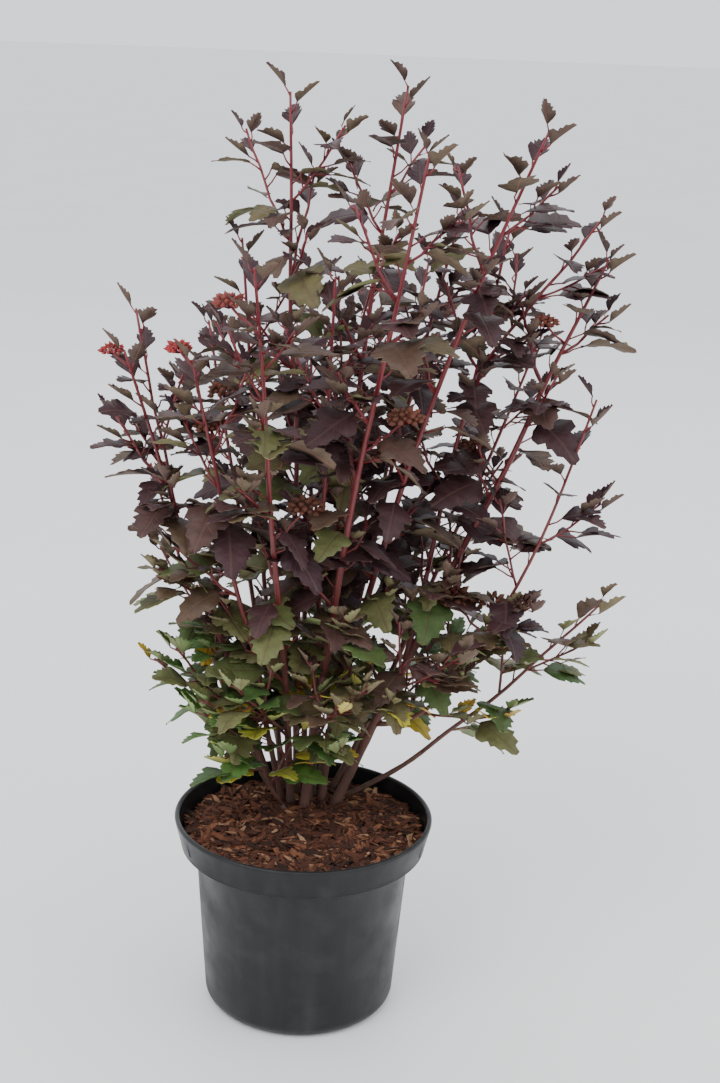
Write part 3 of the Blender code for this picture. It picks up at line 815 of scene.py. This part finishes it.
bark = Finish("stem_bark", 0.48, 0.5)
age = bark.attribute("tone")
streak = bark.noise(260.0, 4.0, (1, 1, 0.12))
young = bark.ramp(age, [(0.0, (0.080, 0.050, 0.036)), (0.14, (0.110, 0.046, 0.032)),
                        (0.30, (0.120, 0.018, 0.018)), (0.65, (0.160, 0.009, 0.015)),
                        (1.0, (0.185, 0.015, 0.025))])
ridges = bark.ramp(streak, [(0.35, grey(0.0)), (0.72, grey(0.35))])
bark.colour(bark.blend(ridges, young, (0.210, 0.060, 0.050, 1)))
bark.gloss(bark.ramp(age, [(0.0, grey(0.8)), (0.35, grey(0.42))]))
bark.relief(streak, 0.25 * MM, 0.5)


def tube(shoot, first, last, step, sides, swell=0.0):
    """A shoot's skin between two shares of its length, closed at both ends."""
    bm = bmesh.new()
    count = max(2, round(shoot.length * (last - first) / step))
    rings = []
    for index in range(count + 1):
        share = first + (last - first) * index / count
        radius = shoot.radius(share) * (1.0 + swell * max(0.0, 1.0 - share * shoot.length / FLARE_HEIGHT))
        if sides == LIMB_SIDES:
            radius *= 1.0 + KNOTS * math.sin(index * KNOT_TURN)
        rings.append(section(shoot.place(share), shoot.heading(share), Vector((0, 1, 0)), radius, radius))
    bmesh.ops.create_circle(bm, cap_ends=True, segments=sides, radius=1, matrix=rings[0])
    edges = list(bm.edges)
    for old, new in zip(rings, rings[1:]):
        grown = bmesh.ops.extrude_edge_only(bm, edges=edges)["geom"]
        points = [item for item in grown if isinstance(item, bmesh.types.BMVert)]
        edges = [item for item in grown if isinstance(item, bmesh.types.BMEdge)]
        bmesh.ops.transform(bm, matrix=new @ old.inverted(), verts=points)
    bmesh.ops.contextual_create(bm, geom=edges)
    bmesh.ops.recalc_face_normals(bm, faces=bm.faces)
    return shape_of(bm)


print("limbs have", LIMB_SIDES, "sides and twigs", TWIG_SIDES)


class BarkHeap(Heap):
    """A heap whose tone is the age of the bark, by height above the soil."""

    def grow(self, shape, least):
        """Adds a tube whose bark is at least so young."""
        start = len(self.points)
        self.add(shape, Matrix(), 0.0)
        for index in range(start, len(self.points)):
            height = (self.points[index].z - SOIL_LEVEL) / YOUNG_BARK_HEIGHT
            self.tones[index] = max(least, min(1.0, height))


# %% Stems and leafy shoots
stem_nodes = ["stem_" + name for name, _, _ in limbs]
heap = BarkHeap()
for name, shoot, bare in limbs:
    heap.grow(tube(shoot, 0.0, bare, LIMB_STEP, LIMB_SIDES, FOOT_FLARE), 0.0)
heap.build("stems", [bark], "stem_bark", stem_nodes)

heap = BarkHeap()
for mass, grown in masses.items():
    for name, shoot, first, spacing, vigour in grown:
        heap.grow(tube(shoot, first, 1.0, TWIG_STEP, TWIG_SIDES), TWIG_AGE)
foliage_nodes = ["foliage_" + name for name in masses]
heap.build("shoots", [bark], "leaves", foliage_nodes)

# %% [markdown]
# ## A leaf
# A ninebark leaf is egg-shaped with three lobes, a toothed edge and a fold along the midrib. A flat
# card with a picture would need an image, and a leaf of many faces would be too heavy a thousand
# times over. So a small grid is drawn in to the outline, row by row, with every other row pulled
# back to make the teeth. It is arched and folded, and solidify gives it a real underside, because
# that side is olive and pale while the upper side is purple.

# %% Leaf shapes
LEAF_ROWS = 12
LEAF_SHAPES = 7
YOUNG_SHAPES = 4
YOUNG_WIDTH = 0.74
TOOTH_FORWARD = 0.055
UNDERSIDE = -0.15
LEAF_THICKNESS = 0.010
LEAF_SCALE = 1.04
TOOTH = 0.075
# Half the leaf's width at shares of its length: base, side lobe, the bay above it, middle lobe, tip.
OUTLINE = ((0.0, 0.02), (0.12, 0.24), (0.33, 0.42), (0.50, 0.27), (0.62, 0.29), (0.82, 0.16), (1.0, 0.0))


def half_width(share):
    """The outline's half width, read between its points."""
    for (low, first), (high, second) in zip(OUTLINE, OUTLINE[1:]):
        if share <= high:
            return first + (second - first) * (share - low) / (high - low)
    return 0.0


def leaf_shape(index, young):
    """A leaf one unit long from the origin along +Y, its upper side up."""
    draw = address("leaf shape", index, young)
    arch = draw.uniform(-0.12, 0.12) if young else draw.uniform(0.10, 0.34)
    fold = draw.uniform(0.45, 0.75) if young else draw.uniform(0.10, 0.30)
    wave = draw.uniform(0.01, 0.035)
    twist = draw.uniform(-0.35, 0.35)
    narrow = YOUNG_WIDTH if young else draw.uniform(0.92, 1.08)
    start = draw.uniform(0, 6)
    bm = bmesh.new()
    bmesh.ops.create_grid(bm, x_segments=2, y_segments=LEAF_ROWS, size=1)
    for vertex in bm.verts:
        share = (vertex.co.y + 1) / 2
        side = round(vertex.co.x)
        row = round(share * LEAF_ROWS)
        width = half_width(share) * narrow
        forward = 0.0
        if side and 0 < row < LEAF_ROWS:
            width += TOOTH * (0.5 if row % 2 else -0.5) * (0.4 + width)
            forward = TOOTH_FORWARD if row % 2 else 0.0
        across = side * width
        along = share + forward
        up = fold * abs(across) - arch * along * along + wave * side * math.sin(start + 11 * share)
        bend = twist * along * across
        vertex.co = (across, along - 0.12 * arch * along, up + bend)
    bmesh.ops.remove_doubles(bm, verts=bm.verts, dist=0.001)
    bmesh.ops.recalc_face_normals(bm, faces=bm.faces)
    if sum(face.normal.z for face in bm.faces) < 0:
        bmesh.ops.reverse_faces(bm, faces=bm.faces)
    bmesh.ops.solidify(bm, geom=list(bm.faces), thickness=LEAF_THICKNESS)
    bmesh.ops.recalc_face_normals(bm, faces=bm.faces)
    bm.normal_update()
    for face in bm.faces:
        face.material_index = 1 if face.normal.z < UNDERSIDE else 0
    return shape_of(bm, lambda point: (point.x + 0.5, point.y))


adult_leaves = [leaf_shape(index, False) for index in range(LEAF_SHAPES)]
young_leaves = [leaf_shape(index, True) for index in range(YOUNG_SHAPES)]
print("faces of one leaf:", len(adult_leaves[0][1]))

# %% [markdown]
# ## Leaf colours
# The crown is dark mauve-purple above with bronze and olive leaves among it, mid green near the
# foot, and a few leaves there turn yellow or orange. Tone, from 0 to 1, runs through those colours.
# Veins are lines in the leaf's own map: one along the middle, and side veins slanting from it. They
# could be modelled, but at this size a line of colour with a little bump reads the same.

# %% Leaf finishes
TOP_COLOURS = [(0.0, (0.030, 0.011, 0.016)), (0.22, (0.062, 0.026, 0.028)), (0.36, (0.092, 0.056, 0.034)),
               (0.48, (0.130, 0.125, 0.048)), (0.62, (0.040, 0.088, 0.020)), (0.76, (0.080, 0.170, 0.030)),
               (0.88, (0.480, 0.420, 0.040)), (1.0, (0.650, 0.230, 0.030))]
UNDER_COLOURS = [(0.0, (0.095, 0.060, 0.050)), (0.22, (0.135, 0.100, 0.062)), (0.36, (0.180, 0.160, 0.080)),
                 (0.48, (0.230, 0.250, 0.105)), (0.62, (0.150, 0.220, 0.080)), (0.76, (0.200, 0.300, 0.100)),
                 (0.88, (0.500, 0.470, 0.120)), (1.0, (0.620, 0.300, 0.090))]
SIDE_VEINS = 7.0
VEIN_SLANT = 0.95
VEIN_SHARE = 0.42


def leaf_finish(name, colours, vein_colour, roughness):
    """One side of the leaves: colours by tone, with veins and fine crinkles."""
    finish = Finish(name, roughness, 0.24)
    spot = finish.tree.nodes.new("ShaderNodeUVMap")
    spot.uv_map = "surface"
    parts = finish.node("SeparateXYZ", Vector=spot.outputs["UV"])
    across = finish.sums("ABSOLUTE", finish.sums("SUBTRACT", parts.outputs["X"], 0.5), 0.0)
    slant = finish.sums("SUBTRACT", parts.outputs["Y"], finish.sums("MULTIPLY", across, VEIN_SLANT))
    saw = finish.sums("PINGPONG", finish.sums("MULTIPLY", slant, SIDE_VEINS), 0.5)
    side_vein = finish.ramp(saw, [(0.0, grey(1.0)), (0.10, grey(0.0))])
    midrib = finish.ramp(across, [(0.010, grey(1.0)), (0.030, grey(0.0))])
    veins = finish.blend(0.55, midrib, side_vein, "SCREEN")
    base = finish.ramp(finish.attribute("tone"), colours)
    mottle = finish.ramp(finish.noise(130.0, 4.0), [(0.3, grey(0.72)), (0.7, grey(1.25))])
    base = finish.blend(0.8, base, mottle, "MULTIPLY")
    finish.colour(finish.blend(finish.sums("MULTIPLY", veins, VEIN_SHARE), base, vein_colour))
    height = finish.sums("SUBTRACT", finish.noise(700.0, 3.0), finish.sums("MULTIPLY", veins, 1.2))
    finish.relief(height, 0.35 * MM, 0.55)
    return finish


leaf_top = leaf_finish("leaf_upper", TOP_COLOURS, (0.110, 0.060, 0.050, 1), 0.50)
leaf_under = leaf_finish("leaf_under", UNDER_COLOURS, (0.300, 0.130, 0.090, 1), 0.62)
print("leaf finishes:", leaf_top.material.name, "and", leaf_under.material.name)

# %% [markdown]
# ## Leaves on their shoots
# Every node bears a leaf on a thin crimson stalk. The spiral turns by the golden angle from one
# node to the next. Leaves near a tip are small, folded and upright; older ones lie level or droop.
# A second leaf is grown between two nodes of the solids' rule, for the shrub's true density. They
# could be scattered by hand or by chance, but only the spiral gives the even, layered look.

# %% Grow the leaves
STALK_SIDES = 5
STALK_THICK = 0.62
STALK_STEP = 6 * MM
STALK_AGE = 0.45
# Tones are a lowest and a highest, and for purple a mean and a spread. Tops are heights in metres.
BASAL_TONES = (0.60, 0.90)
YELLOW_TONES = (0.82, 0.96)
YELLOW_TOP = 0.235
YELLOW_SHARE = 0.10
GREEN_TONES = (0.48, 0.70)
GREEN_TOP = 0.30
GREEN_FADE = 0.10
PURPLE_TONES = (0.10, 0.11)
BRONZE_TONES = (0.32, 0.54)
BRONZE_SPRAYS = ("front_left", "front_right", "inner_left", "top", "left_high")
BRONZE_SHARE = 0.38
SPRAY_TONES = (-0.08, 0.16)
LOWEST_LEAF = 8 * MM
BUDS = 0.5
BETWEEN_FROM = 2
BETWEEN_SPIN = 2.0
BETWEEN_SIZE = 0.9
LEAF_PIECES = 4


def leaf_tone(draw, mass, base, height, youth):
    """The colour number of one leaf, from its spray, its height and its age."""
    if mass == "basal":
        return draw.uniform(*BASAL_TONES)
    if height < YELLOW_TOP and draw.random() < YELLOW_SHARE:
        return draw.uniform(*YELLOW_TONES)
    low = max(0.0, min(1.0, (GREEN_TOP + base * 0.4 - height) / GREEN_FADE))
    purple = abs(draw.gauss(*PURPLE_TONES)) + 0.5 * base
    if mass in BRONZE_SPRAYS and draw.random() < BRONZE_SHARE:
        purple = draw.uniform(*BRONZE_TONES)
    purple *= 1.0 - 0.7 * youth
    green = draw.uniform(*GREEN_TONES)
    return purple + (green - purple) * low


def grow_leaf(heap, stalks, mass, spray, share, count, vigour, word, spin):
    """Lays one leaf and its stalk at a share of a shoot. Returns how many it laid."""
    name, shoot, base = spray
    draw = address(mass, name, word, count)
    youth = max(0.0, 1.0 - count / OLD_LEAF)
    angle = count * SHARED_TURN + draw.uniform(-0.25, 0.25) + spin
    size = LEAF_LENGTH * MM * min(1.0, 0.45 + 0.11 * count) * draw.uniform(*LEAF_VARIES) * vigour
    pitch = math.radians(LEAF_PITCH + (BUD_PITCH - LEAF_PITCH) * youth)
    droop = math.radians(BUD_RISE * youth + (1 - youth) * draw.uniform(*LEAF_DROOP))
    roll = math.radians(draw.uniform(-LEAF_ROLL, LEAF_ROLL))
    axis, root, side = shoot.heading(share), shoot.place(share), shoot.side(share, angle)
    stalk = (axis * math.cos(pitch) + side * math.sin(pitch)).normalized()
    level = Vector((stalk.x, stalk.y, 0)).normalized()
    blade = level * math.cos(droop) + UP * math.sin(droop)
    normal = Matrix.Rotation(roll, 3, blade) @ (UP * math.cos(droop) - level * math.sin(droop))
    if root.z < SOIL_LEVEL + LOWEST_LEAF:
        return 0
    across = blade.cross(normal)
    base_point = root + stalk * PETIOLE * size
    matrix = Matrix.Identity(4)
    long = size * LEAF_SCALE
    for index, column in enumerate((across * long, blade * long, normal * long, base_point)):
        matrix.col[index][:3] = column
    shapes = young_leaves if youth > BUDS else adult_leaves
    tone = leaf_tone(draw, mass, base, base_point.z, youth)
    heap.add(draw.choice(shapes), matrix, tone)
    stem = Shoot(root, base_point + blade * 0.03 * size, 0.92, STALK_THICK, STALK_THICK * 0.8)
    stalks.grow(tube(stem, 0.0, 1.0, STALK_STEP, STALK_SIDES), STALK_AGE)
    return 1


print("the spiral turns by", round(math.degrees(SHARED_TURN), 1), "degrees from leaf to leaf")

# %% Deal the leaves out
leaf_heaps = [Heap() for _ in range(LEAF_PIECES)]
stalks = BarkHeap()
leaf_count = 0
for order, (mass, grown) in enumerate(masses.items()):
    heap = leaf_heaps[order * LEAF_PIECES // len(masses)]
    base = address(mass, "spray").uniform(*SPRAY_TONES)
    for name, shoot, first, spacing, vigour in grown:
        spray = (name, shoot, base)
        shares = node_shares(shoot.length, first, spacing)
        for count, share in enumerate(shares):
            leaf_count += grow_leaf(heap, stalks, mass, spray, share, count, vigour, "leaf", 0.0)
            if BETWEEN_FROM <= count < len(shares) - 1:
                middle = (share + shares[count + 1]) / 2
                leaf_count += grow_leaf(heap, stalks, mass, spray, middle, count,
                                        BETWEEN_SIZE * vigour, "between", BETWEEN_SPIN)
for index, heap in enumerate(leaf_heaps):
    nodes = [node for order, node in enumerate(foliage_nodes) if order * LEAF_PIECES // len(masses) == index]
    heap.build(f"leaves_{index + 1}", [leaf_top, leaf_under], "leaves", nodes)
stalks.build("leaf_stalks", [bark], "leaves", [])
print(leaf_count, "leaves")

# %% [markdown]
# ## Seed heads
# After flowering, a ninebark keeps domed heads of small papery capsules, first bright red, then
# rust and brown. A single bumpy dome would do from afar, but the gaps between the capsules show.
# One capsule is a small ball drawn out to a point. A head sets a few dozen of them on thin stalks
# over a dome, at the end of a short twig.

# %% Capsules and their finish
# The shoot that bears a head, how far up, its bearing, its reach, its radius and its tone.
HEADS = (
    ("inner_left", 0.985, 150, 14, 7.5, 0.95), ("far_left", 0.97, 170, 14, 7.0, 0.9),
    ("front_left", 0.90, 165, 24, 9.0, 0.7), ("far_left", 0.50, 200, 26, 11.0, 0.3),
    ("inner_left", 0.80, 100, 26, 10.0, 0.35), ("left_back", 0.72, 215, 30, 11.0, 0.3),
    ("front_left", 0.55, 20, 28, 11.0, 0.35), ("right_high", 0.52, 250, 34, 12.0, 0.3),
    ("arch_right", 0.55, 150, 34, 14.0, 0.4), ("low_far_right", 0.80, 80, 20, 10.0, 0.35),
    ("far_right", 0.62, 140, 28, 10.0, 0.3), ("back_right", 0.70, 40, 30, 11.0, 0.35),
    ("back", 0.62, 100, 30, 11.0, 0.3), ("low_far_right", 0.95, 330, 16, 8.0, 0.02),
    ("far_right", 0.86, 200, 20, 8.0, 0.55), ("front_right", 0.60, 340, 34, 10.0, 0.45),
)
CAPSULES = 34
CAPSULE_SIZE = 1.9
CAPSULE_POINT = 1.9
DOME_DEPTH = 1.15
DOME_HEIGHT = 0.62
HEAD_OUT = 0.75
HEAD_UP = 0.66
HEAD_STALK = 0.9
HEAD_THREAD = 0.25

husk = Finish("seed_capsule", 0.7, 0.3)
ripe = husk.ramp(husk.attribute("tone"), [(0.0, (0.030, 0.018, 0.014)), (0.3, (0.150, 0.055, 0.030)),
                                          (0.5, (0.260, 0.070, 0.040)), (0.8, (0.420, 0.060, 0.060)),
                                          (1.0, (0.620, 0.035, 0.045))])
husk.colour(husk.blend(husk.noise(500.0, 3.0), ripe, (0.07, 0.03, 0.02, 1)))
husk.relief(husk.noise(1500.0, 2.0), 0.2 * MM, 0.6)

ball = bmesh.new()
bmesh.ops.create_icosphere(ball, subdivisions=1, radius=1)
for vertex in ball.verts:
    if vertex.co.z > 0.8:
        vertex.co.z *= CAPSULE_POINT
capsule = shape_of(ball)
print("faces of one capsule:", len(capsule[1]))

# %% Set the heads
heap = Heap()
head_stalks = BarkHeap()
for order, (name, at, bearing, reach, radius, colour) in enumerate(HEADS):
    side = Vector((math.cos(math.radians(bearing)), math.sin(math.radians(bearing)), 0))
    foot = shoots[name].place(at)
    centre = foot + (side * HEAD_OUT + UP * HEAD_UP) * reach * MM
    head_stalks.grow(tube(Shoot(foot, centre, 0.9, HEAD_STALK), 0.0, 1.0, 5 * MM, TWIG_SIDES), 0.4)
    draw = address("head", order)
    for index in range(CAPSULES):
        high = 1.0 - DOME_DEPTH * (index + 0.5) / CAPSULES
        angle = index * SHARED_TURN
        wide = math.sqrt(max(0.0, 1 - high * high))
        out = Vector((wide * math.cos(angle), wide * math.sin(angle), high * DOME_HEIGHT))
        place = centre + out * radius * MM * draw.uniform(0.72, 1.02)
        size = CAPSULE_SIZE * MM * draw.uniform(0.7, 1.1) * radius / 10
        matrix = section(place, out, side, size, size) @ Matrix.Diagonal((1, 1, size, 1))
        heap.add(capsule, matrix, min(1.0, max(0.0, colour + draw.uniform(-0.15, 0.15))))
        thread = Shoot(centre - UP * radius * 0.3 * MM, place, 1.0, HEAD_THREAD, 0.8 * HEAD_THREAD)
        head_stalks.grow(tube(thread, 0.0, 1.0, 8 * MM, 3), 0.3)
heap.build("seed_heads", [husk], "leaves", [])
head_stalks.build("head_stalks", [bark], "leaves", [])
